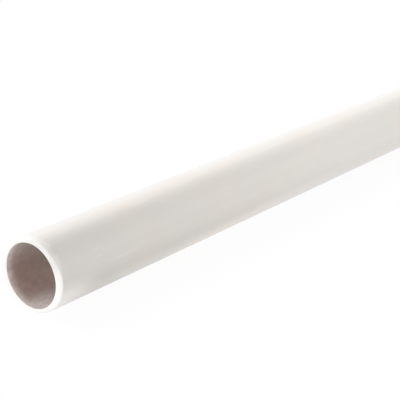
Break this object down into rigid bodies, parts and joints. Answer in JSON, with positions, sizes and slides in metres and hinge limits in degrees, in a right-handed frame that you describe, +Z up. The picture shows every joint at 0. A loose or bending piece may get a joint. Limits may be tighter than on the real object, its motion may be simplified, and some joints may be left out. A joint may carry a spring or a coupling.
{
  "type": "pvc conduit pipe",
  "caption": "Straight length of rigid round white PVC conduit with a plain bore and square-cut, deburred ends, for housing electrical cables.",
  "frame": {"origin": "midway along the line on which the conduit rests, so z = 0 is the floor and the axis is half the outer diameter above it", "axes": "+X along the conduit's axis, +Y across it, +Z up; the end at -X is the one that the picture shows"},
  "size_m": [2, 0.02, 0.02],
  "materials": {
    "pvc": "satin, as extruded, warm white, with fine lengthwise die lines and a duller sawn end"
  },
  "bodies": {
    "root": {"conduit_pipe": "pvc"}
  },
  "joints": []
}
